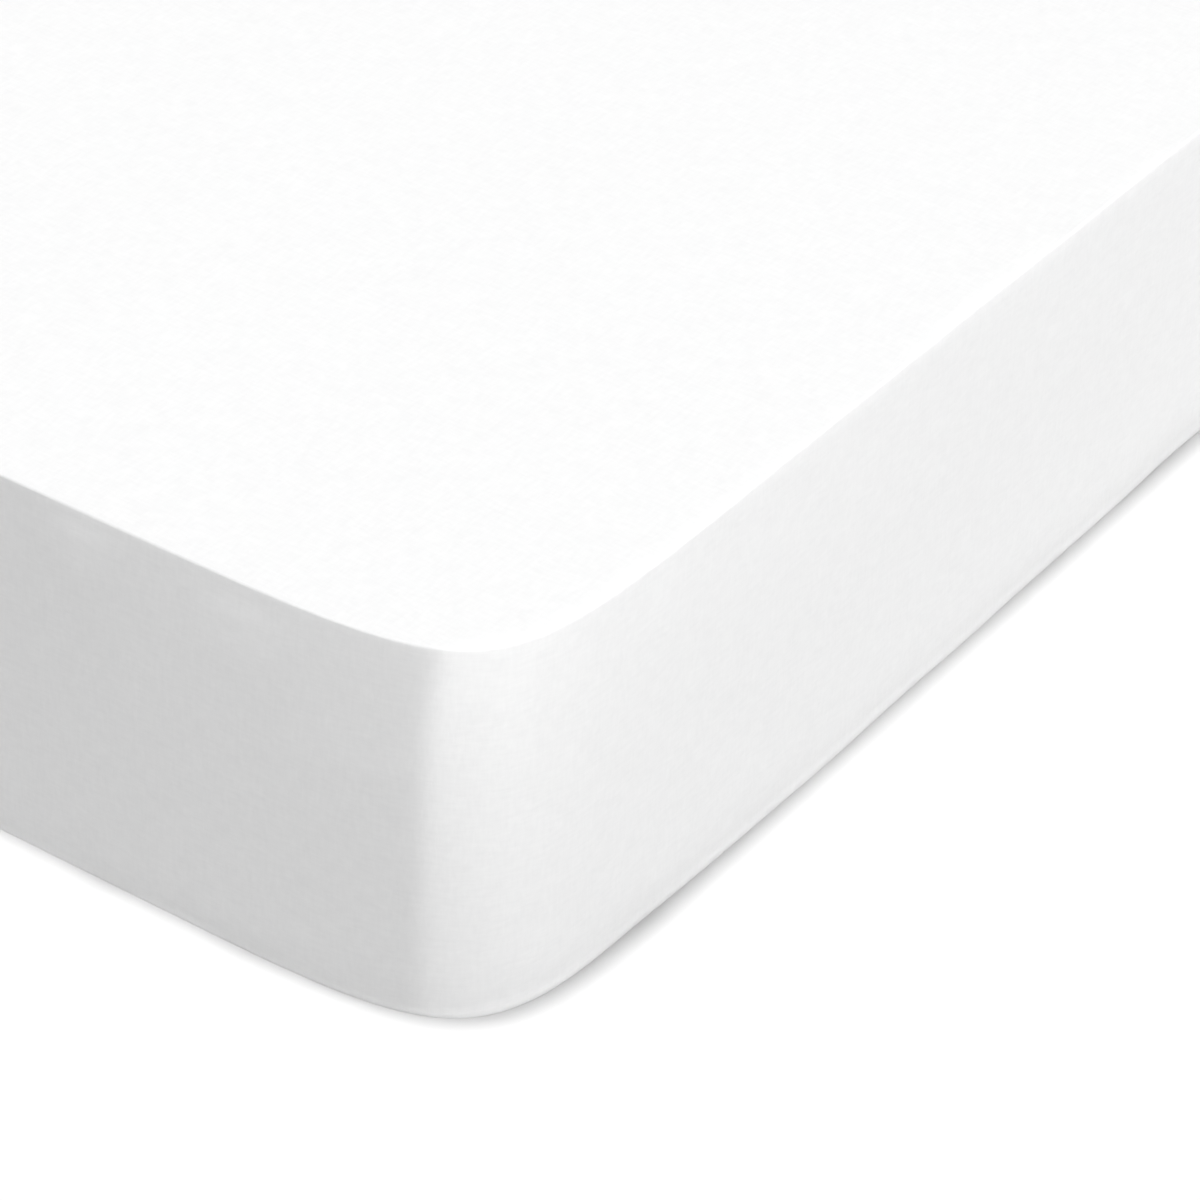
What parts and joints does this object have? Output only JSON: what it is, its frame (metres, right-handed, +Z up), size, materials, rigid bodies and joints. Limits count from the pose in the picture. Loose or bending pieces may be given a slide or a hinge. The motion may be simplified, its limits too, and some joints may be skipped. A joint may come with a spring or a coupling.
{
  "type": "fitted sheet on a mattress",
  "caption": "Plain white fitted sheet drawn taut over a rounded-corner mattress and turned under to a folded hem.",
  "frame": {"origin": "middle of the underside, at the height of the surface that the mattress stands on", "axes": "+X across the mattress, +Y along it from the foot end to the head end, +Z up"},
  "size_m": [0.9, 1.9, 0.25],
  "materials": {
    "white_cotton": "matt plain weave",
    "mattress_ticking": "matt ticking"
  },
  "bodies": {
    "root": {"fitted_sheet": "white_cotton", "mattress": "mattress_ticking"}
  },
  "joints": []
}
